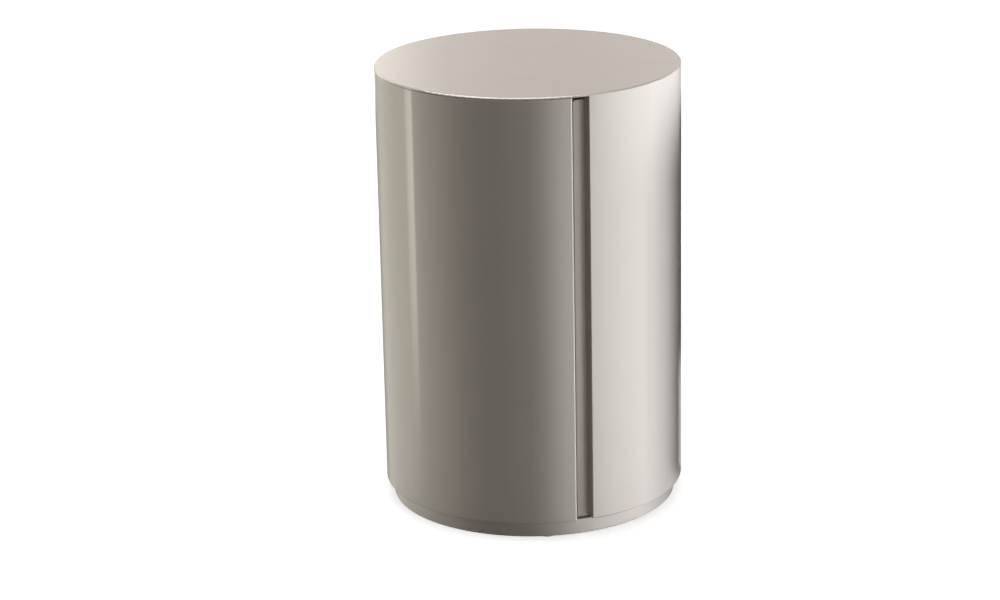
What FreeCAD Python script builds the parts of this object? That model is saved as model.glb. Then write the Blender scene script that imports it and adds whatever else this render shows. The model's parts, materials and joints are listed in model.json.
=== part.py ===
import FreeCAD, Part
import math
import os

# Drum side table with a curved door. Millimetres and degrees, +Z up.
# The origin is on the floor under the middle of the drum, and the door faces -Y.
# A bearing is an angle seen from above that turns from the front (-Y) towards +X.

# Drum
drum_radius = 200.0
overall_height = 590.0
wall = 16.0  # bent side panels and door
board = 16.0  # inner top and bottom panel
edge_ease = 0.8  # small rounding of lacquered edges
overrun = 5.0  # how far a cut runs past the faces it opens
touch = 0.01  # how near a point counts as being on a face
round_limit_share = 0.8  # of the thickness that a rounding may use up
middle_share = 0.5
full_turn = 360.0

# Plinth, its screws and the glides that it stands on
plinth_height = 20.0
plinth_setback = 10.0  # from the drum's face
plinth_wall = 18.0
plinth_gap = 2.0  # shadow gap under the drum's wall
plinth_screw_count = 6
glide_proud = 1.5
glide_radius = 8.0
glide_stem_radius = 2.5
glide_stem_length = 12.0
glide_count = 4

# Top plate: a thin lip runs out over the side panels and the door
top_thickness = 6.0
lip_thickness = 2.5
lip_round = 1.5
core_clearance = 0.5  # from the core under the lip to the wall around it

# Door
door_half_angle = 56.0  # to each side of the front
door_top_gap = 0.5
edge_round = 3.0  # upright edges at the pull and at the heel
board_setback = 2.0  # from the door's inner face to the boards behind it
pull_opening = 21.0  # finger groove, along the drum's face
nose_thickness = 7.0
nose_front_share = 0.45  # most of the nose that its front rounding may take
nose_back_share = 0.3  # rounding of the nose's back edge
bevel_width = 14.0  # undercut behind the nose
panel_edge_round = 1.2  # right side panel, at the groove

# Pivot hinge inside the door's thickness
heel = 12.0  # from the pivot to the door's hinge edge
swing_clearance = 0.9
arm_thickness = 3.0
arm_half_width = 6.5
arm_length = 44.0
arm_fit = 0.2  # between an arm and its pocket
arm_gap = 0.5  # between the door and the upper arm
notch_reach = 8.0  # the door is lower this far past the upper pivot
pin_radius = 4.0
pin_length = 20.0
pin_running_clearance = 0.05
pin_end_gap = 0.5
bush_radius = 6.0
washer_thickness = 0.5
arm_screw_shares = (0.6, 0.87)  # places along an arm, from its pivot

# Fixed jamb that forms the floor of the finger groove
jamb_thickness = 14.0
jamb_gap = 4.5  # from the door's nose to the jamb's free edge
jamb_overlap = 26.0  # behind the right side panel
jamb_head_gap = 3.5
jamb_foot_gap = 0.8
jamb_corner_radius = 4.5  # at the top of the free edge
jamb_edge_round = 1.0
jamb_tongue_thickness = 10.0  # closes the slot behind the door's nose
jamb_tongue_width = 28.0
jamb_fit = 0.2
jamb_screw_count = 4

# Back joint of the two bent side panels
back_bearing = full_turn / 2
spline_thickness = 4.0
spline_half_width = 8.0

# Dowels between the boards and the side panels
dowel_radius = 4.0
dowel_board_length = 18.0
dowel_wall_share = 0.7
dowels_per_panel = 4

# Shelf and its pins
shelf_thickness = 16.0
shelf_height_share = 0.5  # of the inside height
shelf_clearance = 0.6
shelf_setback = 2.0  # behind the jamb's inner face
shelf_back_margin = 3.0  # from the jamb and the hinge edge to the wide part
shelf_pin_bearings = (96.0, 148.0, 212.0, 264.0)
shelf_pin_radius = 2.5
shelf_pin_wall_share = 0.6
shelf_tongue_length = 9.0
shelf_tongue_width = 10.0
shelf_tongue_thickness = 5.0

# Countersunk screws
screw_radius = 2.0
screw_head_radius = 3.8
screw_head_height = 2.4
screw_bite_share = 0.68  # of the board or panel that it holds in

# Magnetic catches and bumpers at the pull side
catch_bearing = 44.0
magnet_radius = 4.0
magnet_length = 11.0
strike_radius = 5.0
strike_thickness = 1.6
strike_proud = 1.0
bumper_bearing = 37.0
bumper_radius = 4.0
bumper_gap = 0.3

# Worked out from the values above
inner_radius = drum_radius - wall
pivot_radius = drum_radius - wall / 2
plinth_radius = drum_radius - plinth_setback
plinth_inner_radius = plinth_radius - plinth_wall
board_front_radius = inner_radius - board_setback
jamb_inner_radius = inner_radius - jamb_thickness
catch_face = inner_radius - strike_proud
nose_round = min(edge_round, nose_front_share * nose_thickness)
rim_round = min(lip_round, round_limit_share * lip_thickness)

plinth_top = glide_proud + plinth_height
drum_bottom = plinth_top + plinth_gap
bottom_panel_top = plinth_top + board
lip_bottom = overall_height - lip_thickness
inner_top_top = overall_height - top_thickness
inner_top_bottom = inner_top_top - board
door_top = lip_bottom - door_top_gap
upper_board_middle = (inner_top_top + inner_top_bottom) / 2
lower_board_middle = (plinth_top + bottom_panel_top) / 2
catch_heights = (lower_board_middle, upper_board_middle)
inside_height = inner_top_bottom - bottom_panel_top
shelf_bottom = bottom_panel_top + shelf_height_share * (inside_height - shelf_thickness)

door_notch_top = inner_top_top - arm_gap
upper_bush_bottom = door_notch_top - pin_length
upper_arm_top = inner_top_top + arm_thickness
lower_arm_top = drum_bottom - washer_thickness
lower_arm_bottom = lower_arm_top - arm_thickness

heel_reach = math.hypot(heel - edge_round, wall / 2 - edge_round) + edge_round
hinge_gap = heel_reach - heel + swing_clearance
relief_radius = math.hypot(heel, wall / 2) + swing_clearance


def swing(length, radius):
    return math.degrees(length / radius)


pivot_bearing = -door_half_angle + swing(heel, pivot_radius)
hinge_edge_bearing = full_turn - door_half_angle - swing(hinge_gap, pivot_radius)
groove_bearing = door_half_angle + swing(pull_opening, drum_radius)
jamb_start = door_half_angle + swing(jamb_gap, drum_radius)
jamb_end = groove_bearing + swing(jamb_overlap, inner_radius)
tongue_start = jamb_start - swing(jamb_tongue_width, inner_radius)


def spot(radius, bearing, height):
    turn = math.radians(bearing)
    return FreeCAD.Vector(radius * math.sin(turn), -radius * math.cos(turn), height)


def outward(bearing):
    return spot(1, bearing, 0)


up = FreeCAD.Vector(0, 0, 1)
down = FreeCAD.Vector(0, 0, -1)


def spread(start, end, count):
    step = (end - start) / count
    return [start + step * (place + middle_share) for place in range(count)]


def rod(radius, foot, direction, length):
    return Part.makeCylinder(radius, length, foot, direction)


def disc(radius, bottom, top):
    return rod(radius, spot(0, 0, bottom), up, top - bottom)


def arc(radius, start, end, height):
    middle = (start + end) / 2
    points = [spot(radius, bearing, height) for bearing in (start, middle, end)]
    return Part.Arc(*points).toShape()


def line(first, second):
    return Part.makeLine(first, second)


def raised(edges, height):
    return Part.Face(Part.Wire(edges)).extrude(up * height)


def curved_wall(inner, outer, start, end, bottom, top):
    edges = [
        arc(outer, start, end, bottom),
        line(spot(outer, end, bottom), spot(inner, end, bottom)),
        arc(inner, end, start, bottom),
        line(spot(inner, start, bottom), spot(outer, start, bottom)),
    ]
    return raised(edges, top - bottom)


def upright_edges(shape, radius, bearing):
    foot = spot(radius, bearing, 0)
    found = []
    for edge in shape.Edges:
        first, last = edge.firstVertex().Point, edge.lastVertex().Point
        plan = math.hypot(first.x - foot.x, first.y - foot.y)
        if plan < touch and math.hypot(last.x - first.x, last.y - first.y) < touch:
            found.append(edge)
    return found


def rim_edges(shape, radius, height):
    found = []
    for edge in shape.Edges:
        middle = edge.valueAt((edge.FirstParameter + edge.LastParameter) / 2)
        level = abs(middle.z - height) < touch and edge.BoundBox.ZLength < touch
        if level and abs(math.hypot(middle.x, middle.y) - radius) < touch:
            found.append(edge)
    return found


def whole(shape):
    return shape.removeSplitter().Solids[0]


def screw(place, direction, length):
    head = Part.makeCone(screw_head_radius, screw_radius, screw_head_height, place, direction)
    return whole(head.fuse(rod(screw_radius, place, direction, length)))


def dowels(height):
    return [
        rod(
            dowel_radius,
            spot(inner_radius - dowel_board_length, bearing, height),
            outward(bearing),
            dowel_board_length + dowel_wall_share * wall,
        )
        for panel in ((groove_bearing, back_bearing), (back_bearing, hinge_edge_bearing))
        for bearing in spread(*panel, dowels_per_panel)
    ]


def magnet(height):
    start = spot(catch_face - magnet_length, catch_bearing, height)
    return rod(magnet_radius, start, outward(catch_bearing), magnet_length)


def magnets():
    return [magnet(height) for height in catch_heights]


def strike(height):
    start = spot(catch_face, catch_bearing, height)
    return rod(strike_radius, start, outward(catch_bearing), strike_thickness)


def strikes():
    return [strike(height) for height in catch_heights]


def bumper(height):
    half_turn = swing(2 * bumper_radius, inner_radius)
    pad = curved_wall(
        board_front_radius + bumper_gap,
        inner_radius,
        bumper_bearing - half_turn,
        bumper_bearing + half_turn,
        height - bumper_radius,
        height + bumper_radius,
    )
    start = spot(board_front_radius - overrun, bumper_bearing, height)
    return whole(pad.common(rod(bumper_radius, start, outward(bumper_bearing), wall)))


def bumpers():
    return [bumper(height) for height in catch_heights]


def arm_outline(half_width, bottom, top):
    pivot = spot(pivot_radius, pivot_bearing, bottom)
    end = spot(pivot_radius - arm_length + half_width, pivot_bearing, bottom)
    ahead = outward(pivot_bearing) * half_width
    side = outward(pivot_bearing + full_turn / 4) * half_width
    edges = [
        Part.Arc(pivot - side, pivot + ahead, pivot + side).toShape(),
        line(pivot + side, end + side),
        Part.Arc(end + side, end - ahead, end - side).toShape(),
        line(end - side, pivot - side),
    ]
    return raised(edges, top - bottom)


def arm_screws(height, direction):
    length = arm_thickness + screw_bite_share * board
    return [
        screw(spot(pivot_radius - share * arm_length, pivot_bearing, height), direction, length)
        for share in arm_screw_shares
    ]


def upper_pin():
    length = arm_thickness + pin_length
    return rod(pin_radius, spot(pivot_radius, pivot_bearing, upper_arm_top), down, length)


def lower_pin():
    length = arm_thickness + washer_thickness + pin_length - pin_end_gap
    return rod(pin_radius, spot(pivot_radius, pivot_bearing, lower_arm_bottom), up, length)


def upper_hinge_arm():
    arm = arm_outline(arm_half_width, inner_top_top, upper_arm_top)
    return whole(arm.cut([upper_pin()] + arm_screws(upper_arm_top, down)))


def lower_hinge_arm():
    arm = arm_outline(arm_half_width, lower_arm_bottom, lower_arm_top)
    return whole(arm.cut([lower_pin()] + arm_screws(lower_arm_bottom, up)))


def pivot_sleeve(radius, bottom):
    return rod(radius, spot(pivot_radius, pivot_bearing, bottom), up, pin_length)


def hinge_bush(bottom):
    bore = pivot_sleeve(pin_radius + pin_running_clearance, bottom)
    return whole(pivot_sleeve(bush_radius, bottom).cut(bore))


def thrust_washer():
    place = spot(pivot_radius, pivot_bearing, lower_arm_top)
    ring = rod(arm_half_width, place, up, washer_thickness)
    return whole(ring.cut(rod(pin_radius + pin_running_clearance, place, up, washer_thickness)))


def jamb_screws():
    bearing = (groove_bearing + jamb_end) / 2
    length = jamb_thickness + screw_bite_share * wall
    return [
        screw(spot(jamb_inner_radius, bearing, height), outward(bearing), length)
        for height in spread(bottom_panel_top, inner_top_bottom, jamb_screw_count)
    ]


def radial_edges(shape, bearing, height):
    found = []
    for edge in shape.Edges:
        ends = [vertex.Point for vertex in edge.Vertexes]
        offsets = [(end - spot(math.hypot(end.x, end.y), bearing, height)).Length for end in ends]
        if max(offsets) < touch:
            found.append(edge)
    return found


def pull_jamb():
    bottom, top = plinth_top + jamb_foot_gap, inner_top_top - jamb_head_gap
    front = curved_wall(jamb_inner_radius, inner_radius, jamb_start, jamb_end, bottom, top)
    front = front.makeFillet(jamb_corner_radius, radial_edges(front, jamb_start, top))
    front = front.makeFillet(jamb_edge_round, upright_edges(front, inner_radius, jamb_start))
    tongue_face = jamb_inner_radius + jamb_tongue_thickness
    tongue = curved_wall(jamb_inner_radius, tongue_face, tongue_start, jamb_end, bottom, top)
    return whole(front.fuse(tongue).cut(jamb_screws()))


def carcass_board(bottom, top, holes):
    blank = disc(inner_radius, bottom, top)
    low, high = bottom - overrun, top + overrun
    door_side = curved_wall(
        board_front_radius,
        inner_radius + overrun,
        hinge_edge_bearing - full_turn,
        groove_bearing,
        low,
        high,
    )
    notch = curved_wall(
        jamb_inner_radius - jamb_fit,
        inner_radius + overrun,
        tongue_start - swing(jamb_fit, jamb_inner_radius),
        jamb_end + swing(jamb_fit, jamb_inner_radius),
        low,
        high,
    )
    relief = rod(relief_radius, spot(pivot_radius, pivot_bearing, low), up, high - low)
    return whole(blank.cut([door_side, notch, relief] + holes))


def inner_top():
    holes = dowels(upper_board_middle) + arm_screws(upper_arm_top, down) + magnets()
    return carcass_board(inner_top_bottom, inner_top_top, holes)


def bottom_panel():
    holes = dowels(lower_board_middle) + arm_screws(lower_arm_bottom, up) + magnets() + plinth_screws()
    pocket = arm_outline(arm_half_width + arm_fit, plinth_top - overrun, lower_arm_top)
    return carcass_board(plinth_top, bottom_panel_top, holes + [pocket])


def back_spline():
    middle = spot(pivot_radius, back_bearing, drum_bottom)
    corner = middle - FreeCAD.Vector(spline_half_width, spline_thickness / 2, 0)
    return Part.makeBox(2 * spline_half_width, spline_thickness, lip_bottom - drum_bottom, corner)


def shelf_pin(bearing):
    height = shelf_bottom - shelf_tongue_thickness / 2
    length = shelf_clearance + shelf_pin_wall_share * wall
    start = spot(inner_radius - shelf_clearance, bearing, height)
    shank = rod(shelf_pin_radius, start, outward(bearing), length)
    half_turn = swing(shelf_tongue_width / 2, inner_radius)
    tongue = curved_wall(
        inner_radius - shelf_tongue_length,
        inner_radius,
        bearing - half_turn,
        bearing + half_turn,
        shelf_bottom - shelf_tongue_thickness,
        shelf_bottom,
    )
    return whole(shank.fuse(tongue))


def shelf_pins():
    return [shelf_pin(bearing) for bearing in shelf_pin_bearings]


def side_panel(start, end, free_end, free_round):
    panel = curved_wall(inner_radius, drum_radius, start, end, drum_bottom, lip_bottom)
    panel = panel.makeFillet(free_round, upright_edges(panel, drum_radius, free_end))
    panel = panel.makeFillet(edge_ease, rim_edges(panel, drum_radius, drum_bottom))
    holes = dowels(lower_board_middle) + dowels(upper_board_middle) + shelf_pins() + jamb_screws()
    return whole(panel.cut(holes + [back_spline()]))


def right_side_panel():
    return side_panel(groove_bearing, back_bearing, groove_bearing, panel_edge_round)


def left_side_panel():
    return side_panel(back_bearing, hinge_edge_bearing, hinge_edge_bearing, edge_round)


def shelf():
    top = shelf_bottom + shelf_thickness
    narrow = disc(jamb_inner_radius - shelf_setback, shelf_bottom, top)
    margin = swing(shelf_back_margin, inner_radius)
    wide = curved_wall(
        jamb_inner_radius - shelf_setback - overrun,
        inner_radius - shelf_clearance,
        jamb_end + margin,
        hinge_edge_bearing - margin,
        shelf_bottom,
        top,
    )
    return whole(narrow.fuse(wide))


def plinth_screws():
    radius = (plinth_inner_radius + board_front_radius) / 2
    length = plinth_height + screw_bite_share * board
    return [
        screw(spot(radius, bearing, glide_proud), up, length)
        for bearing in spread(0, full_turn, plinth_screw_count)
    ]


def glide(bearing):
    radius = plinth_radius - plinth_wall / 2
    foot = rod(glide_radius, spot(radius, bearing, 0), up, glide_proud)
    foot = foot.makeFillet(glide_proud / 2, [edge for edge in foot.Edges if edge.BoundBox.ZMax < touch])
    stem = rod(glide_stem_radius, spot(radius, bearing, 0), up, glide_proud + glide_stem_length)
    return whole(foot.fuse(stem))


def floor_glides():
    return [glide(bearing) for bearing in spread(0, full_turn, glide_count)]


def plinth_ring():
    ring = disc(plinth_radius, glide_proud, plinth_top)
    rims = rim_edges(ring, plinth_radius, plinth_top) + rim_edges(ring, plinth_radius, glide_proud)
    ring = ring.makeFillet(edge_ease, rims)
    hollow = disc(plinth_inner_radius, glide_proud - overrun, plinth_top + overrun)
    pocket = arm_outline(arm_half_width + arm_fit, lower_arm_bottom, plinth_top + overrun)
    return whole(ring.cut([hollow, pocket] + plinth_screws() + floor_glides()))


def top_plate():
    lip = disc(drum_radius, lip_bottom, overall_height)
    lip = lip.makeFillet(rim_round, rim_edges(lip, drum_radius, overall_height))
    core = disc(inner_radius - core_clearance, inner_top_top, lip_bottom)
    pocket = arm_outline(arm_half_width + arm_fit, inner_top_top - overrun, lip_bottom)
    return whole(lip.fuse(core.cut(pocket)))


def door_blank():
    bottom = drum_bottom
    hinge, pull = -door_half_angle, door_half_angle
    nose_radius = drum_radius - nose_thickness
    undercut = pull - swing(bevel_width, inner_radius)
    edges = [
        arc(drum_radius, hinge, pull, bottom),
        line(spot(drum_radius, pull, bottom), spot(nose_radius, pull, bottom)),
        line(spot(nose_radius, pull, bottom), spot(inner_radius, undercut, bottom)),
        arc(inner_radius, undercut, hinge, bottom),
        line(spot(inner_radius, hinge, bottom), spot(drum_radius, hinge, bottom)),
    ]
    return raised(edges, door_top - bottom)


def door_panel():
    hinge, pull = -door_half_angle, door_half_angle
    panel = door_blank()
    heel_edges = upright_edges(panel, drum_radius, hinge) + upright_edges(panel, inner_radius, hinge)
    panel = panel.makeFillet(edge_round, heel_edges)
    panel = panel.makeFillet(nose_round, upright_edges(panel, drum_radius, pull))
    nose_back = upright_edges(panel, drum_radius - nose_thickness, pull)
    panel = panel.makeFillet(nose_back_share * nose_thickness, nose_back)
    rims = rim_edges(panel, drum_radius, drum_bottom) + rim_edges(panel, drum_radius, door_top)
    panel = panel.makeFillet(edge_ease, rims)
    notch = curved_wall(
        inner_radius - overrun,
        drum_radius + overrun,
        hinge - swing(overrun, drum_radius),
        pivot_bearing + swing(notch_reach, pivot_radius),
        door_notch_top,
        overall_height,
    )
    sleeves = [pivot_sleeve(bush_radius, upper_bush_bottom), pivot_sleeve(bush_radius, drum_bottom)]
    return whole(panel.cut([notch] + sleeves + strikes()))


def save(node, shapes):
    shape = shapes if isinstance(shapes, Part.Shape) else Part.makeCompound(shapes)
    shape.exportStep("parts/" + node + ".step")
    state = "valid" if shape.isValid() else "not valid"
    print(node, len(shape.Solids), "solids", round(shape.Volume), "mm3", state)


os.makedirs("parts", exist_ok=True)

# Carcass
save("top_plate", top_plate())
save("inner_top", inner_top())
save("bottom_panel", bottom_panel())
save("right_side_panel", right_side_panel())
save("left_side_panel", left_side_panel())
save("back_spline", back_spline())
save("upper_dowels", dowels(upper_board_middle))
save("lower_dowels", dowels(lower_board_middle))
save("pull_jamb", pull_jamb())
save("jamb_screws", jamb_screws())
save("shelf", shelf())
save("shelf_pins", shelf_pins())
save("plinth_ring", plinth_ring())
save("plinth_screws", plinth_screws())
save("floor_glides", floor_glides())
save("upper_hinge_arm", upper_hinge_arm())
save("upper_hinge_pin", upper_pin())
save("upper_arm_screws", arm_screws(upper_arm_top, down))
save("lower_hinge_arm", lower_hinge_arm())
save("lower_hinge_pin", lower_pin())
save("lower_arm_screws", arm_screws(lower_arm_bottom, up))
save("thrust_washer", thrust_washer())
save("catch_magnets", magnets())

# Door
save("door_panel", door_panel())
save("upper_hinge_bush", hinge_bush(upper_bush_bottom))
save("lower_hinge_bush", hinge_bush(drum_bottom))
save("strike_plates", strikes())
save("door_bumpers", bumpers())
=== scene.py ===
import json
import math

import bpy
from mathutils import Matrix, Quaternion, Vector


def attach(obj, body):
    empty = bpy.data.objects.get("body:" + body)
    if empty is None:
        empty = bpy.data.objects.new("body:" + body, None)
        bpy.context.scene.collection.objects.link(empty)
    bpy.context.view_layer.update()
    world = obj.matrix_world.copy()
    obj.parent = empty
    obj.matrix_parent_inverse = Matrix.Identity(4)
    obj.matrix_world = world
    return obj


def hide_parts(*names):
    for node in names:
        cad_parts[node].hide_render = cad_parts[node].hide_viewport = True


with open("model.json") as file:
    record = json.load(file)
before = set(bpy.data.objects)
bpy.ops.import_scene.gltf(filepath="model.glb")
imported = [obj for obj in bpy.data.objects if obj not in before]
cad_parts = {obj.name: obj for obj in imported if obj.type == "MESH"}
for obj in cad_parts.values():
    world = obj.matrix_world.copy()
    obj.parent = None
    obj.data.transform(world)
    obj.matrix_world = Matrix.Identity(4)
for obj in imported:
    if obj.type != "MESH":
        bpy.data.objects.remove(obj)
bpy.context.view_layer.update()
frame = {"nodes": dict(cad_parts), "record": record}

nodes = frame["nodes"]
print("frame loaded:", len(nodes), "pieces")

fullTurn = 360.0
upwards = Vector((0, 0, 1))


def deselectAll():
    if bpy.context.object and bpy.context.object.mode != "OBJECT":
        bpy.ops.object.mode_set(mode="OBJECT")
    bpy.ops.object.select_all(action="DESELECT")


def applyPlace():
    bpy.ops.object.transform_apply(location=True, rotation=True, scale=True)


def bearingPoint(radius, bearing, height):  # bearing turns from the front, -Y, towards +X
    turn = math.radians(bearing)
    return Vector((radius * math.sin(turn), -radius * math.cos(turn), height))


# Shader groups shared by the finishes

noiseMiddle = (0.3, 0.7)  # where most of a noise's values lie
grainMiddle = (0.35, 0.65)


def newGroup(name, inputs):
    group = bpy.data.node_groups.new(name, "ShaderNodeTree")
    group.interface.new_socket(name="Vector", in_out="INPUT", socket_type="NodeSocketVector")
    for label, kind, value in inputs:
        socket = group.interface.new_socket(name=label, in_out="INPUT", socket_type=kind)
        socket.default_value = value
    for label in ("Tone", "Roughness", "Height"):
        group.interface.new_socket(name=label, in_out="OUTPUT", socket_type="NodeSocketFloat")
    into = group.nodes.new("NodeGroupInput")
    out = group.nodes.new("NodeGroupOutput")
    return group, into, out


def noiseNode(tree, vector, scale, detail, roughness=0.5):
    noise = tree.nodes.new("ShaderNodeTexNoise")
    noise.inputs["Detail"].default_value = detail
    noise.inputs["Roughness"].default_value = roughness
    tree.links.new(vector, noise.inputs["Vector"])
    if isinstance(scale, (int, float)):
        noise.inputs["Scale"].default_value = scale
    else:
        tree.links.new(scale, noise.inputs["Scale"])
    return noise.outputs["Fac"]


def rangeNode(tree, value, low, high, toLow, toHigh):
    spread = tree.nodes.new("ShaderNodeMapRange")
    spread.interpolation_type = "SMOOTHSTEP"
    for label, setting in (("From Min", low), ("From Max", high), ("To Min", toLow), ("To Max", toHigh)):
        if isinstance(setting, (int, float)):
            spread.inputs[label].default_value = setting
        else:
            tree.links.new(setting, spread.inputs[label])
    tree.links.new(value, spread.inputs["Value"])
    return spread.outputs["Result"]


def linkEffect(group, into, out, tone, gloss, height):
    rough = rangeNode(group, gloss, *noiseMiddle, into.outputs["Smoothest"], into.outputs["Roughest"])
    for label, value in (("Tone", tone), ("Roughness", rough), ("Height", height)):
        group.links.new(value, out.inputs[label])


def sprayedFilmGroup():  # cloudy tone, patchy gloss and orange peel of a sprayed film
    group, into, out = newGroup(
        "sprayedFilm",
        [
            ("Cloud Scale", "NodeSocketFloat", 7.0),
            ("Gloss Scale", "NodeSocketFloat", 30.0),
            ("Peel Scale", "NodeSocketFloat", 350.0),
            ("Smoothest", "NodeSocketFloat", 0.2),
            ("Roughest", "NodeSocketFloat", 0.3),
        ],
    )
    vector = into.outputs["Vector"]
    clouds = noiseNode(group, vector, into.outputs["Cloud Scale"], detail=3)
    gloss = noiseNode(group, vector, into.outputs["Gloss Scale"], detail=2)
    peel = noiseNode(group, vector, into.outputs["Peel Scale"], detail=2, roughness=0.45)
    linkEffect(group, into, out, rangeNode(group, clouds, *noiseMiddle, 0.0, 1.0), gloss, peel)
    return group


def grainGroup():  # fine pits and specks of matt or moulded surfaces
    group, into, out = newGroup(
        "fineGrain",
        [
            ("Grain Scale", "NodeSocketFloat", 1200.0),
            ("Smoothest", "NodeSocketFloat", 0.45),
            ("Roughest", "NodeSocketFloat", 0.6),
        ],
    )
    vector = into.outputs["Vector"]
    patchScale = 24.0
    grain = noiseNode(group, vector, into.outputs["Grain Scale"], detail=3, roughness=0.6)
    patches = noiseNode(group, vector, patchScale, detail=2)
    linkEffect(group, into, out, rangeNode(group, grain, *grainMiddle, 0.0, 1.0), patches, grain)
    return group


def drawnLinesGroup():  # fine lines along one direction, for drawn metal and long wood grain
    group, into, out = newGroup(
        "drawnLines",
        [
            ("Stretch", "NodeSocketVector", (40.0, 1500.0, 1500.0)),
            ("Smoothest", "NodeSocketFloat", 0.2),
            ("Roughest", "NodeSocketFloat", 0.4),
        ],
    )
    stretch = group.nodes.new("ShaderNodeVectorMath")
    stretch.operation = "MULTIPLY"
    group.links.new(into.outputs["Vector"], stretch.inputs[0])
    group.links.new(into.outputs["Stretch"], stretch.inputs[1])
    lines = noiseNode(group, stretch.outputs["Vector"], scale=1.0, detail=3, roughness=0.6)
    linkEffect(group, into, out, rangeNode(group, lines, *noiseMiddle, 0.0, 1.0), lines, lines)
    return group


groups = {"sprayedFilm": sprayedFilmGroup(), "fineGrain": grainGroup(), "drawnLines": drawnLinesGroup()}


def newFinish(name, look):
    material = bpy.data.materials.new(name)
    material.use_nodes = True
    tree = material.node_tree
    shader = tree.nodes["Principled BSDF"]
    place = tree.nodes.new("ShaderNodeTexCoord")
    effect = tree.nodes.new("ShaderNodeGroup")
    effect.node_tree = groups[look["group"]]
    for label, value in look["effect"].items():
        effect.inputs[label].default_value = value
    tree.links.new(place.outputs["Object"], effect.inputs["Vector"])
    tone = tree.nodes.new("ShaderNodeMix")
    tone.data_type = "RGBA"
    tone.inputs["A"].default_value = (*look["darker"], 1)
    tone.inputs["B"].default_value = (*look["lighter"], 1)
    tree.links.new(effect.outputs["Tone"], tone.inputs["Factor"])
    tree.links.new(tone.outputs["Result"], shader.inputs["Base Color"])
    tree.links.new(effect.outputs["Roughness"], shader.inputs["Roughness"])
    bump = tree.nodes.new("ShaderNodeBump")
    bump.inputs["Strength"].default_value = look["bump"]
    bump.inputs["Distance"].default_value = look["bumpDepth"]
    tree.links.new(effect.outputs["Height"], bump.inputs["Height"])
    tree.links.new(bump.outputs["Normal"], shader.inputs["Normal"])
    for label, value in look.get("shader", {}).items():
        shader.inputs[label].default_value = value
    return material


# Greige lacquer: glossy outside and on the plinth, satin in the groove, matt inside

lacquerLook = {
    "group": "sprayedFilm",
    "effect": {
        "Cloud Scale": 7.0,
        "Gloss Scale": 30.0,
        "Peel Scale": 320.0,
        "Smoothest": 0.285,
        "Roughest": 0.31,
    },
    "darker": (0.354, 0.312, 0.270),
    "lighter": (0.366, 0.322, 0.280),
    "bump": 0.008,
    "bumpDepth": 0.0002,
    "shader": {"IOR": 1.5, "Coat Weight": 0.9, "Coat Roughness": 0.06, "Coat IOR": 1.5},
}
grooveLook = {
    **lacquerLook,
    "effect": {**lacquerLook["effect"], "Smoothest": 0.42, "Roughest": 0.46},
    "bump": 0.01,
    "shader": {**lacquerLook["shader"], "Coat Weight": 0.6, "Coat Roughness": 0.3},
}
innerLook = {
    "group": "sprayedFilm",
    "effect": {
        "Cloud Scale": 9.0,
        "Gloss Scale": 40.0,
        "Peel Scale": 500.0,
        "Smoothest": 0.48,
        "Roughest": 0.6,
    },
    "darker": (0.345, 0.303, 0.262),
    "lighter": (0.370, 0.326, 0.284),
    "bump": 0.1,
    "bumpDepth": 0.0002,
    "shader": {"IOR": 1.48},
}

# Wood, metal and plastic of the joints and fittings

beechLook = {
    "group": "drawnLines",
    "effect": {"Stretch": (700.0, 700.0, 25.0), "Smoothest": 0.5, "Roughest": 0.68},
    "darker": (0.47, 0.30, 0.165),
    "lighter": (0.62, 0.42, 0.255),
    "bump": 0.25,
    "bumpDepth": 0.0002,
}
zincLook = {
    "group": "fineGrain",
    "effect": {"Grain Scale": 700.0, "Smoothest": 0.24, "Roughest": 0.4},
    "darker": (0.52, 0.53, 0.55),
    "lighter": (0.66, 0.66, 0.67),
    "bump": 0.1,
    "bumpDepth": 0.0001,
    "shader": {"Metallic": 1.0},
}
hingeLook = {
    "group": "drawnLines",
    "effect": {"Stretch": (60.0, 2200.0, 2200.0), "Smoothest": 0.26, "Roughest": 0.42},
    "darker": (0.46, 0.46, 0.47),
    "lighter": (0.60, 0.60, 0.61),
    "bump": 0.12,
    "bumpDepth": 0.0001,
    "shader": {"Metallic": 1.0},
}
brassLook = {
    "group": "drawnLines",
    "effect": {"Stretch": (300.0, 300.0, 2600.0), "Smoothest": 0.2, "Roughest": 0.34},
    "darker": (0.62, 0.42, 0.16),
    "lighter": (0.78, 0.57, 0.26),
    "bump": 0.12,
    "bumpDepth": 0.0001,
    "shader": {"Metallic": 1.0},
}
nickelLook = {
    "group": "fineGrain",
    "effect": {"Grain Scale": 500.0, "Smoothest": 0.12, "Roughest": 0.22},
    "darker": (0.62, 0.60, 0.56),
    "lighter": (0.72, 0.70, 0.66),
    "bump": 0.05,
    "bumpDepth": 0.0001,
    "shader": {"Metallic": 1.0},
}
nylonLook = {
    "group": "fineGrain",
    "effect": {"Grain Scale": 800.0, "Smoothest": 0.4, "Roughest": 0.52},
    "darker": (0.70, 0.68, 0.63),
    "lighter": (0.80, 0.78, 0.73),
    "bump": 0.15,
    "bumpDepth": 0.0002,
}
siliconeLook = {
    "group": "fineGrain",
    "effect": {"Grain Scale": 600.0, "Smoothest": 0.2, "Roughest": 0.32},
    "darker": (0.66, 0.66, 0.64),
    "lighter": (0.76, 0.76, 0.74),
    "bump": 0.08,
    "bumpDepth": 0.0002,
    "shader": {"Subsurface Weight": 0.3, "Subsurface Radius": (0.002, 0.002, 0.002)},
}
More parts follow.
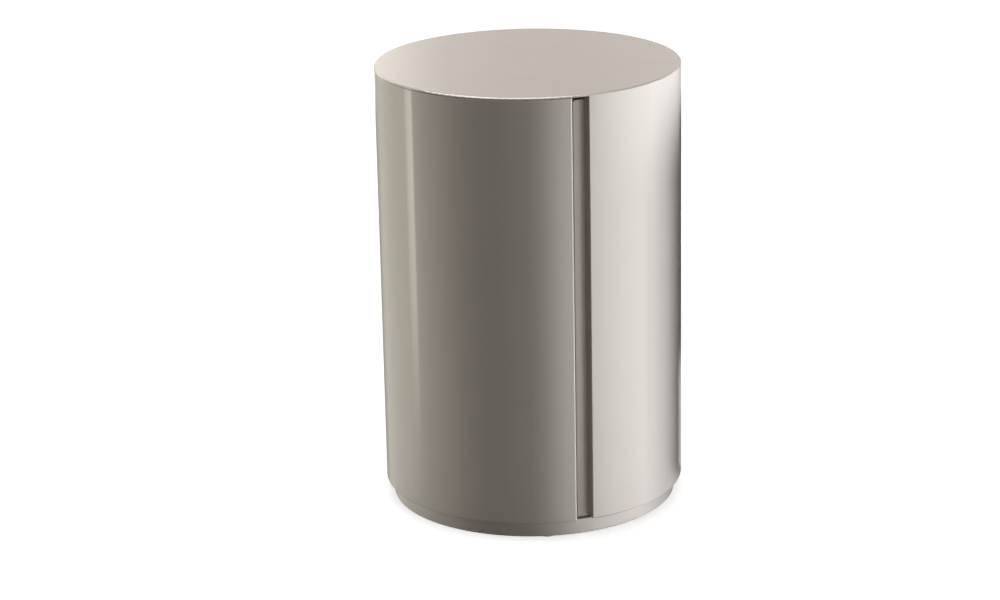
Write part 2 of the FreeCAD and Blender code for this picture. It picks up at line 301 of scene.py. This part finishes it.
finishes = {
    "lacquer": newFinish("glossyLacquer", lacquerLook),
    "inner_lacquer": newFinish("innerLacquer", innerLook),
    "beech": newFinish("rawBeech", beechLook),
    "zinc_steel": newFinish("zincSteel", zincLook),
    "hinge_steel": newFinish("hingeSteel", hingeLook),
    "bush_brass": newFinish("turnedBrass", brassLook),
    "nickel": newFinish("nickelPlate", nickelLook),
    "nylon": newFinish("mouldedNylon", nylonLook),
    "silicone": newFinish("clearSilicone", siliconeLook),
}
for subpart in frame["record"]["subparts"]:
    nodes[subpart["node"]].material_slots[0].material = finishes[subpart["material_slot"]]
nodes["pull_jamb"].material_slots[0].material = newFinish("grooveLacquer", grooveLook)
print("finishes:", len(finishes) + 1)

# Fittings with more detail than the solids: cross-recessed screws and domed bumpers

screwSettings = {
    "headRadius": 0.0038,
    "headHeight": 0.0024,
    "headEase": 0.00025,
    "headEaseSteps": 2,
    "shankRadius": 0.0020,
    "sides": 32,
    "tipLength": 0.0030,
    "tipShare": 0.15,
    "crossLong": 0.0046,
    "crossWide": 0.0010,
    "crossDeep": 0.0017,
    "crossTaper": 0.55,
}
jambScrewPlaces = {"radius": 0.170, "bearing": 66.064, "heights": (0.103813, 0.236438, 0.369062, 0.501688)}
plinthScrewPlaces = {"radius": 0.177, "bearings": (30, 90, 150, 210, 270, 330), "underside": 0.0015}
armScrewPlaces = {"radii": (0.1656, 0.15372), "bearing": -52.419, "upperFace": 0.587, "lowerFace": 0.020}


def jambHeads(places):
    return [bearingPoint(places["radius"], places["bearing"], height) for height in places["heights"]]


def plinthHeads(places):
    return [bearingPoint(places["radius"], bearing, places["underside"]) for bearing in places["bearings"]]


def armHeads(places, face):
    return [bearingPoint(radius, places["bearing"], places[face]) for radius in places["radii"]]


screwRows = {
    "jambScrews": {
        "node": "jamb_screws",
        "length": 0.02488,
        "heads": jambHeads(jambScrewPlaces),
        "aim": bearingPoint(1, jambScrewPlaces["bearing"], 0),
    },
    "plinthScrews": {
        "node": "plinth_screws",
        "length": 0.03088,
        "heads": plinthHeads(plinthScrewPlaces),
        "aim": upwards,
    },
    "upperArmScrews": {
        "node": "upper_arm_screws",
        "length": 0.01388,
        "heads": armHeads(armScrewPlaces, "upperFace"),
        "aim": -upwards,
    },
    "lowerArmScrews": {
        "node": "lower_arm_screws",
        "length": 0.01388,
        "heads": armHeads(armScrewPlaces, "lowerFace"),
        "aim": upwards,
    },
}
flatTolerance = 1e-6
smoothAngle = math.radians(35)


def pickFaces(piece, height):  # faces that lie flat at one height, in edit mode
    bpy.ops.mesh.select_all(action="DESELECT")
    bpy.ops.object.mode_set(mode="OBJECT")
    for face in piece.data.polygons:
        heights = [piece.data.vertices[v].co.z for v in face.vertices]
        face.select = all(abs(z - height) < flatTolerance for z in heights)
    bpy.ops.object.mode_set(mode="EDIT")
    bpy.ops.mesh.select_mode(type="FACE")


def crossBar(settings, turn):
    deselectAll()
    bpy.ops.mesh.primitive_cube_add(size=1)
    bar = bpy.context.object
    deep = settings["crossDeep"]
    taper = settings["crossTaper"]
    bar.scale = (settings["crossLong"], settings["crossWide"], 2 * deep)
    bar.rotation_euler = (0, 0, turn)
    applyPlace()
    bpy.ops.object.mode_set(mode="EDIT")
    pickFaces(bar, deep)
    bpy.ops.transform.resize(value=(taper, taper, 1), center_override=(0, 0, deep))
    bpy.ops.object.mode_set(mode="OBJECT")
    return bar


def modelScrew(settings, length):  # head at the origin, point along +Z
    deselectAll()
    neck = settings["headHeight"]
    tip = settings["tipLength"]
    share = settings["tipShare"]
    shankEnd = length - tip
    bpy.ops.mesh.primitive_cylinder_add(
        vertices=settings["sides"],
        radius=settings["shankRadius"],
        depth=shankEnd - neck,
        location=(0, 0, (shankEnd + neck) / 2),
    )
    piece = bpy.context.object
    applyPlace()
    bpy.ops.object.mode_set(mode="EDIT")
    pickFaces(piece, neck)
    bpy.ops.mesh.extrude_region_move(TRANSFORM_OT_translate={"value": (0, 0, -neck)})
    grow = settings["headRadius"] / settings["shankRadius"]
    bpy.ops.transform.resize(value=(grow, grow, 1), center_override=(0, 0, 0))
    bpy.ops.mesh.bevel(offset=settings["headEase"], segments=settings["headEaseSteps"], affect="EDGES")
    pickFaces(piece, shankEnd)
    bpy.ops.mesh.extrude_region_move(TRANSFORM_OT_translate={"value": (0, 0, tip)})
    bpy.ops.transform.resize(value=(share, share, 1), center_override=(0, 0, length))
    bpy.ops.object.mode_set(mode="OBJECT")
    for turn in (math.pi / 4, -math.pi / 4):
        bar = crossBar(settings, turn)
        deselectAll()
        bpy.context.view_layer.objects.active = piece
        piece.select_set(True)
        cut = piece.modifiers.new("crossCut", "BOOLEAN")
        cut.operation = "DIFFERENCE"
        cut.solver = "EXACT"
        cut.object = bar
        bpy.ops.object.modifier_apply(modifier=cut.name)
        bpy.data.objects.remove(bar)
    return piece


def setCopies(model, places, aim):  # copies of the model, each with its own mesh, joined in one piece
    turn = upwards.rotation_difference(aim)
    if aim == -upwards:
        turn = Quaternion((1, 0, 0), math.pi)
    copies = []
    for place in places:
        deselectAll()
        bpy.context.view_layer.objects.active = model
        model.select_set(True)
        bpy.ops.object.duplicate(linked=False)
        one = bpy.context.object
        one.location = place
        one.rotation_euler = turn.to_euler()
        applyPlace()
        copies.append(one)
    bpy.data.objects.remove(model)
    deselectAll()
    for one in copies:
        one.select_set(True)
    bpy.context.view_layer.objects.active = copies[0]
    bpy.ops.object.join()
    bpy.ops.object.shade_smooth_by_angle(angle=smoothAngle)
    return bpy.context.object


def fitPiece(piece, name, node, body, slot):
    piece.name = name
    piece.data.name = name
    piece.data.materials.clear()
    piece.data.materials.append(finishes[slot])
    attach(piece, body)
    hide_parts(node)


for rowName, row in screwRows.items():
    screws = setCopies(modelScrew(screwSettings, row["length"]), row["heads"], row["aim"])
    fitPiece(screws, rowName, row["node"], "carcass", "zinc_steel")
print("screws:", sum(len(row["heads"]) for row in screwRows.values()))

bumperSettings = {
    "radius": 0.0040,
    "sides": 40,
    "seat": 0.1840,  # radius of the door's inner face
    "face": 0.1823,
    "dome": 0.0012,
    "domeSteps": 5,
    "bearing": 37.0,
    "heights": (0.0295, 0.576),
}


def modelBumper(settings):  # seat at the origin, dome along +Z
    deselectAll()
    tall = settings["seat"] - settings["face"]
    bpy.ops.mesh.primitive_cylinder_add(
        vertices=settings["sides"], radius=settings["radius"], depth=tall, location=(0, 0, tall / 2)
    )
    piece = bpy.context.object
    applyPlace()
    bpy.ops.object.mode_set(mode="EDIT")
    pickFaces(piece, tall)
    bpy.ops.mesh.bevel(offset=settings["dome"], segments=settings["domeSteps"], affect="EDGES")
    bpy.ops.object.mode_set(mode="OBJECT")
    return piece


bumperBearing = bumperSettings["bearing"]
bumperPlaces = [bearingPoint(bumperSettings["seat"], bumperBearing, z) for z in bumperSettings["heights"]]
bumpers = setCopies(modelBumper(bumperSettings), bumperPlaces, -bearingPoint(1, bumperBearing, 0))
fitPiece(bumpers, "doorBumpers", "door_bumpers", "door", "silicone")
print("bumpers:", len(bumperPlaces))

# Floor and world, white for the camera

floorSettings = {
    "size": 14.0,
    "colour": (0.86, 0.86, 0.86),
    "roughness": 0.9,
    "specular": 0.1,
    "near": 0.6,
    "nearLift": 0.68,
    "far": 1.5,
    "farLift": 1.0,
}


def paleFloor(settings):
    deselectAll()
    bpy.ops.mesh.primitive_plane_add(size=settings["size"], location=(0, 0, 0))
    floor = bpy.context.object
    floor.name = "paleFloor"
    material = bpy.data.materials.new("paleFloor")
    material.use_nodes = True
    tree = material.node_tree
    shader = tree.nodes["Principled BSDF"]
    shader.inputs["Base Color"].default_value = (*settings["colour"], 1)
    shader.inputs["Roughness"].default_value = settings["roughness"]
    shader.inputs["Specular IOR Level"].default_value = settings["specular"]
    shader.inputs["Emission Color"].default_value = (1, 1, 1, 1)
    path = tree.nodes.new("ShaderNodeLightPath")
    place = tree.nodes.new("ShaderNodeTexCoord")
    reach = tree.nodes.new("ShaderNodeVectorMath")
    reach.operation = "LENGTH"
    tree.links.new(place.outputs["Object"], reach.inputs[0])
    level = rangeNode(
        tree,
        reach.outputs["Value"],
        settings["near"],
        settings["far"],
        settings["nearLift"],
        settings["farLift"],
    )
    lift = tree.nodes.new("ShaderNodeMath")
    lift.operation = "MULTIPLY"
    tree.links.new(path.outputs["Is Camera Ray"], lift.inputs[0])
    tree.links.new(level, lift.inputs[1])
    tree.links.new(lift.outputs["Value"], shader.inputs["Emission Strength"])
    floor.data.materials.append(material)
    floor.visible_glossy = False  # the lacquer mirrors the reflectors instead


paleFloor(floorSettings)

worldSettings = {"fill": 0.05, "seen": 1.0}


def studioWorld(settings):
    world = bpy.data.worlds.new("studioWorld")
    bpy.context.scene.world = world
    world.use_nodes = True
    tree = world.node_tree
    background = tree.nodes["Background"]
    background.inputs["Color"].default_value = (1, 1, 1, 1)
    path = tree.nodes.new("ShaderNodeLightPath")
    seen = tree.nodes.new("ShaderNodeMath")
    seen.operation = "MAXIMUM"
    tree.links.new(path.outputs["Is Camera Ray"], seen.inputs[0])
    tree.links.new(path.outputs["Is Glossy Ray"], seen.inputs[1])
    through = tree.nodes.new("ShaderNodeMath")
    through.operation = "MAXIMUM"
    tree.links.new(seen.outputs["Value"], through.inputs[0])
    tree.links.new(path.outputs["Is Transmission Ray"], through.inputs[1])
    level = tree.nodes.new("ShaderNodeMapRange")
    level.inputs["To Min"].default_value = settings["fill"]
    level.inputs["To Max"].default_value = settings["seen"]
    tree.links.new(through.outputs["Value"], level.inputs["Value"])
    tree.links.new(level.outputs["Result"], background.inputs["Strength"])


studioWorld(worldSettings)
print("floor and world set")

# Softboxes for the diffuse light; each turn counts from the camera's bearing, to the picture's right
cameraBearing = 39.838
softboxAim = Vector((0, 0, 0.3))
softboxes = {
    "topBox": {"turn": 180, "distance": 0.25, "height": 2.2, "width": 1.6, "tall": 1.6, "level": 3.0},
    "frontBox": {"turn": 20, "distance": 2.0, "height": 1.0, "width": 0.9, "tall": 1.6, "level": 1.5},
    "leftBox": {"turn": -90, "distance": 2.0, "height": 1.0, "width": 0.9, "tall": 1.6, "level": 2.0},
}


def addSoftbox(name, box):
    deselectAll()
    place = bearingPoint(box["distance"], cameraBearing + box["turn"], box["height"])
    bpy.ops.object.light_add(type="AREA", location=place)
    lamp = bpy.context.object
    lamp.name = name
    lamp.data.shape = "RECTANGLE"
    lamp.data.size = box["width"]
    lamp.data.size_y = box["tall"]
    lamp.data.energy = math.pi * box["width"] * box["tall"] * box["level"]
    lamp.rotation_euler = (softboxAim - place).to_track_quat("-Z", "Y").to_euler()
    lamp.visible_camera = False
    lamp.visible_glossy = False


for boxName, boxSettings in softboxes.items():
    addSoftbox(boxName, boxSettings)
print("softboxes:", len(softboxes))

# Reflectors round the table, which only the gloss of the finishes sees: (turn, tint) and (turn, level)
reflectorTints = (
    (0, (1.0, 0.975, 0.952)),
    (140, (1.0, 0.975, 0.952)),
    (165, (1.0, 0.915, 0.86)),
    (185, (1.0, 0.915, 0.86)),
    (196, (1.0, 0.965, 0.87)),
    (235, (1.0, 0.955, 0.83)),
    (330, (1.0, 0.955, 0.83)),
    (350, (1.0, 0.975, 0.952)),
)
reflectors = {
    "reflectorRing": {
        "radius": 1.7,
        "foot": -1.2,
        "head": 0.6,
        "span": (0, 360),
        "tones": (
            (0, 0.47), (7, 0.78), (22, 2.6), (37, 4.4), (52, 6.3), (67, 6.75), (82, 6.4), (90, 5.9),
            (92, 5.4), (94.9, 5.1), (95.3, 1.0), (127, 0.7), (142, 0.1), (178, 0), (187, 0.85),
            (202, 0.3), (217, 0.9), (232, 1.13), (247, 1.42), (256, 1.6), (265, 1.55), (266, 1.5),
            (277, 1.3), (292, 1.0), (307, 0.4), (322, 0.05), (337, 0), (352, 0.25),
        ),
        "fall": (0.3, 0.55),
    },
    "rightReflector": {
        "radius": 1.69,
        "foot": 0.0,
        "head": 0.6,
        "span": (40, 152),
        "tones": (
            (40, 4.9), (52, 6.8), (67, 7.8), (82, 7.8), (94.9, 6.9), (95.3, 1.2), (142, 1.2), (152, 1.0),
        ),
        "rise": (0.0, 0.2),
        "fall": (0.42, 0.6),
    },
    "backReflector": {
        "radius": 1.69,
        "foot": 0.0,
        "head": 2.4,
        "span": (152, 214),
        "tones": (
            (152, 0.9), (160, 0.85), (169, 0.87), (173, 0.81), (177, 0.74), (181, 0.75), (186, 0.85),
            (193, 1.9), (200, 0.85), (214, 0.5),
        ),
        "rise": (0.09, 0.17),
    },
    "rightUpperReflector": {
        "radius": 1.7,
        "foot": 0.9,
        "head": 2.5,
        "span": (85, 152),
        "tones": ((85, 1.9), (152, 1.5)),
        "rise": (0.95, 1.3),
    },
    "leftUpperReflector": {
        "radius": 1.7,
        "foot": 0.9,
        "head": 2.5,
        "span": (214, 275),
        "tones": ((214, 1.1), (275, 1.2)),
        "rise": (0.95, 1.3),
    },
    "lowerReflector": {
        "radius": 1.69,
        "foot": -1.2,
        "head": -0.3,
        "span": (148, 182),
        "tones": ((148, 0.5), (152, 0.6), (178, 0.6), (182, 0.5)),
        "fall": (-0.43, -0.34),
    },
    "leftStrip": {
        "radius": 1.68,
        "foot": -0.6,
        "head": 0.6,
        "span": (258, 268.4),
        "tones": ((258, 1.65), (260.2, 1.75), (261.2, 3.0), (265.2, 4.2), (268.4, 4.8)),
        "rise": (-0.57, 0.07),
        "fall": (0.3, 0.55),
    },
    "leftRimReflector": {
        "radius": 1.69,
        "foot": 0.5,
        "head": 0.95,
        "span": (212, 280),
        "tones": ((212, 5.0), (240, 7.0), (268, 6.0), (280, 2.0)),
        "rise": (0.5, 0.6),
        "fall": (0.75, 0.95),
    },
}
ringSides = 180


def rampNode(tree, value, stops):  # colours by position, from 0 to 1
    ramp = tree.nodes.new("ShaderNodeValToRGB")
    marks = ramp.color_ramp.elements
    while len(marks) > 1:
        marks.remove(marks[-1])
    for number, (position, colour) in enumerate(stops):
        mark = marks[0] if number == 0 else marks.new(position)
        mark.position = position
        mark.color = (*colour, 1)
    tree.links.new(value, ramp.inputs["Fac"])
    return ramp.outputs["Color"]


def cardMaterial(name):
    material = bpy.data.materials.new(name)
    material.use_nodes = True
    material.cycles.emission_sampling = "NONE"
    tree = material.node_tree
    tree.nodes.remove(tree.nodes["Principled BSDF"])
    return material, tree, tree.nodes.new("ShaderNodeEmission")


def showSurface(tree, shader):
    tree.links.new(shader, tree.nodes["Material Output"].inputs["Surface"])


def onlyMirrored(card, material):
    card.data.materials.append(material)
    card.visible_camera = False
    card.visible_diffuse = False
    card.visible_transmission = False
    card.visible_shadow = False


def reflectorMaterial(name, settings):
    material, tree, glow = cardMaterial(name)
    place = tree.nodes.new("ShaderNodeTexCoord")
    turn = tree.nodes.new("ShaderNodeMapping")
    turn.inputs["Rotation"].default_value = (0, 0, -math.radians(cameraBearing + 90))
    tree.links.new(place.outputs["Object"], turn.inputs["Vector"])
    sweep = tree.nodes.new("ShaderNodeTexGradient")
    sweep.gradient_type = "RADIAL"
    tree.links.new(turn.outputs["Vector"], sweep.inputs["Vector"])
    around = sweep.outputs["Fac"]
    top = max(level for _, level in settings["tones"])
    tones = [(angle / fullTurn, (level / top,) * 3) for angle, level in settings["tones"]]
    tints = [(angle / fullTurn, tint) for angle, tint in reflectorTints]
    strength = tree.nodes.new("ShaderNodeMath")
    strength.operation = "MULTIPLY"
    strength.inputs[1].default_value = top
    tree.links.new(rampNode(tree, around, tones), strength.inputs[0])
    tree.links.new(rampNode(tree, around, tints), glow.inputs["Color"])
    tree.links.new(strength.outputs["Value"], glow.inputs["Strength"])
    split = tree.nodes.new("ShaderNodeSeparateXYZ")
    tree.links.new(place.outputs["Object"], split.inputs["Vector"])
    height = split.outputs["Z"]
    solid = tree.nodes.new("ShaderNodeMath")
    solid.operation = "MULTIPLY"
    solid.inputs[0].default_value = solid.inputs[1].default_value = 1.0
    if "rise" in settings:  # soft lower edge
        tree.links.new(rangeNode(tree, height, *settings["rise"], 0.0, 1.0), solid.inputs[0])
    if "fall" in settings:  # soft upper edge
        tree.links.new(rangeNode(tree, height, *settings["fall"], 1.0, 0.0), solid.inputs[1])
    clear = tree.nodes.new("ShaderNodeBsdfTransparent")
    both = tree.nodes.new("ShaderNodeMixShader")
    tree.links.new(solid.outputs["Value"], both.inputs["Fac"])
    tree.links.new(clear.outputs["BSDF"], both.inputs[1])
    tree.links.new(glow.outputs["Emission"], both.inputs[2])
    showSurface(tree, both.outputs["Shader"])
    return material


def addReflector(name, settings):
    deselectAll()
    bpy.ops.mesh.primitive_cylinder_add(
        vertices=ringSides,
        radius=settings["radius"],
        depth=settings["head"] - settings["foot"],
        end_fill_type="NOTHING",
        location=(0, 0, (settings["head"] + settings["foot"]) / 2),
    )
    card = bpy.context.object
    card.name = name
    applyPlace()
    for face in card.data.polygons:
        around = math.degrees(math.atan2(face.center.x, -face.center.y)) - cameraBearing
        face.select = not settings["span"][0] <= around % fullTurn <= settings["span"][1]
    bpy.ops.object.mode_set(mode="EDIT")
    bpy.ops.mesh.select_mode(type="FACE")
    bpy.ops.mesh.delete(type="FACE")
    bpy.ops.object.mode_set(mode="OBJECT")
    onlyMirrored(card, reflectorMaterial(name, settings))


for reflectorName, reflectorSettings in reflectors.items():
    addReflector(reflectorName, reflectorSettings)
print("reflectors:", len(reflectors))

# Flat cards above and below, for the edges that turn upwards or downwards. The black card below is painted
# shade: it stands in for the shaded floor in the gloss of the edges that turn downwards
flatCards = {
    "overheadCard": {"radius": 1.3, "height": 2.3, "level": 7.0},
    # black card, seen only in gloss: painted shade of the floor under the table
    "paintedShadeCard": {"radius": 1.72, "height": -0.7, "level": 0.0},
}
discSides = 64


def addFlatCard(name, settings):
    deselectAll()
    bpy.ops.mesh.primitive_circle_add(
        vertices=discSides, radius=settings["radius"], fill_type="NGON", location=(0, 0, settings["height"])
    )
    card = bpy.context.object
    card.name = name
    applyPlace()
    material, tree, glow = cardMaterial(name)
    glow.inputs["Strength"].default_value = settings["level"]
    showSurface(tree, glow.outputs["Emission"])
    onlyMirrored(card, material)


for cardName, cardSettings in flatCards.items():
    addFlatCard(cardName, cardSettings)
print("flat cards:", len(flatCards))

# Upright flag at the right: pale in front like the ring behind it, plain at the back, so the ring's bright
# side stays out of the gloss seen from behind. Tones are (distance from the drum's axis, level)
flagSettings = {
    "turn": 95,
    "panes": {
        "sideFlag": {"inner": 0.226, "outer": 1.71, "foot": -1.2, "head": 0.6},
        "plinthFlag": {"inner": 0.1915, "outer": 0.226, "foot": -1.2, "head": 0.015},
    },
    "footTones": (
        (0.19, 0.45), (0.226, 0.6), (0.252, 0.95), (0.283, 1.35), (0.33, 1.75), (0.41, 2.3), (0.566, 3.1),
        (0.72, 3.8), (1.0, 4.5),
    ),
    "lowTones": (
        (0.226, 0.06), (0.252, 0.3), (0.283, 0.75), (0.33, 1.4), (0.36, 1.75), (0.41, 2.2), (0.47, 2.6),
        (0.566, 3.1), (0.72, 3.8), (1.0, 4.5),
    ),
    "highTones": (
        (0.231, 1.7), (0.252, 2.4), (0.283, 3.1), (0.33, 3.8), (0.41, 4.7), (0.566, 5.6), (0.72, 6.1),
        (1.0, 6.6),
    ),
    "footChange": (-0.01, 0.035),  # height at the wall where the foot tones give way to the low ones
    "change": (0.43, 0.63),  # and the low ones to the high ones
    "drop": 0.33,  # fall of that height with the distance
    "wallRadius": 0.2,
    "tint": (1.0, 0.975, 0.952),
    "back": 1.0,
    "scaleUp": 10.0,  # ramps hold values up to 1
}


def flagMaterial(name, settings):
    material, tree, glow = cardMaterial(name)
    scaleUp = settings["scaleUp"]
    tint = Vector(settings["tint"]) / scaleUp
    place = tree.nodes.new("ShaderNodeTexCoord")
    split = tree.nodes.new("ShaderNodeSeparateXYZ")
    tree.links.new(place.outputs["Object"], split.inputs["Vector"])
    flat = tree.nodes.new("ShaderNodeCombineXYZ")
    tree.links.new(split.outputs["X"], flat.inputs["X"])
    tree.links.new(split.outputs["Y"], flat.inputs["Y"])
    reach = tree.nodes.new("ShaderNodeVectorMath")
    reach.operation = "LENGTH"
    tree.links.new(flat.outputs["Vector"], reach.inputs[0])
    lifted = tree.nodes.new("ShaderNodeMath")
    lifted.operation = "MULTIPLY_ADD"
    lifted.inputs[1].default_value = settings["drop"]
    tree.links.new(reach.outputs["Value"], lifted.inputs[0])
    tree.links.new(split.outputs["Z"], lifted.inputs[2])
    start = settings["drop"] * settings["wallRadius"]

    def tones(key):
        return rampNode(tree, reach.outputs["Value"], [(far, tint * tone) for far, tone in settings[key]])

    def changed(key):
        low, high = settings[key]
        return rangeNode(tree, lifted.outputs["Value"], low + start, high + start, 0.0, 1.0)

    def mixed(factor, first, second):
        mix = tree.nodes.new("ShaderNodeMix")
        mix.data_type = "RGBA"
        for label, value in (("Factor", factor), ("A", first), ("B", second)):
            tree.links.new(value, mix.inputs[label])
        return mix.outputs["Result"]

    front = mixed(changed("footChange"), tones("footTones"), tones("lowTones"))
    front = mixed(changed("change"), front, tones("highTones"))
    side = tree.nodes.new("ShaderNodeNewGeometry")
    behind = tree.nodes.new("ShaderNodeRGB")
    behind.outputs[0].default_value = (settings["back"] / scaleUp,) * 3 + (1,)
    glow.inputs["Strength"].default_value = scaleUp
    tree.links.new(mixed(side.outputs["Backfacing"], front, behind.outputs[0]), glow.inputs["Color"])
    showSurface(tree, glow.outputs["Emission"])
    return material


def addFlag(settings):
    bearing = cameraBearing + settings["turn"]
    material = flagMaterial("sideFlag", settings)
    for name, pane in settings["panes"].items():
        deselectAll()
        middle = (pane["foot"] + pane["head"]) / 2
        bpy.ops.mesh.primitive_plane_add(
            size=1.0,
            location=bearingPoint((pane["inner"] + pane["outer"]) / 2, bearing, middle),
            rotation=(math.pi / 2, 0, math.radians(bearing - 90)),
        )
        card = bpy.context.object
        card.name = name
        card.scale = (pane["outer"] - pane["inner"], pane["head"] - pane["foot"], 1)
        applyPlace()
        onlyMirrored(card, material)


addFlag(flagSettings)
print("flag panes:", len(flagSettings["panes"]))

# Camera at the photograph's viewing angle
cameraSettings = {
    "bearing": cameraBearing,
    "distance": 3.6,  # from the drum's axis
    "height": 1.4237,
    "sensor": 36.0,
    "lens": 101.86,
    "clipEnd": 50.0,
    "yaw": -0.01161,
    "pitch": -0.31151,
    "roll": -0.01998,
}


def addCamera(settings):
    deselectAll()
    place = bearingPoint(settings["distance"], settings["bearing"], settings["height"])
    bpy.ops.object.camera_add(location=place)
    camera = bpy.context.object
    camera.data.sensor_width = settings["sensor"]
    camera.data.lens = settings["lens"]
    camera.data.clip_end = settings["clipEnd"]
    turn = math.radians(settings["bearing"]) - settings["yaw"]
    level = math.cos(settings["pitch"])
    look = Vector((-math.sin(turn) * level, math.cos(turn) * level, math.sin(settings["pitch"])))
    roll = Quaternion((0, 0, 1), settings["roll"])
    camera.rotation_euler = (look.to_track_quat("-Z", "Y") @ roll).to_euler()
    bpy.context.scene.camera = camera


addCamera(cameraSettings)
bpy.context.scene.view_settings.view_transform = "Standard"
print("camera set")
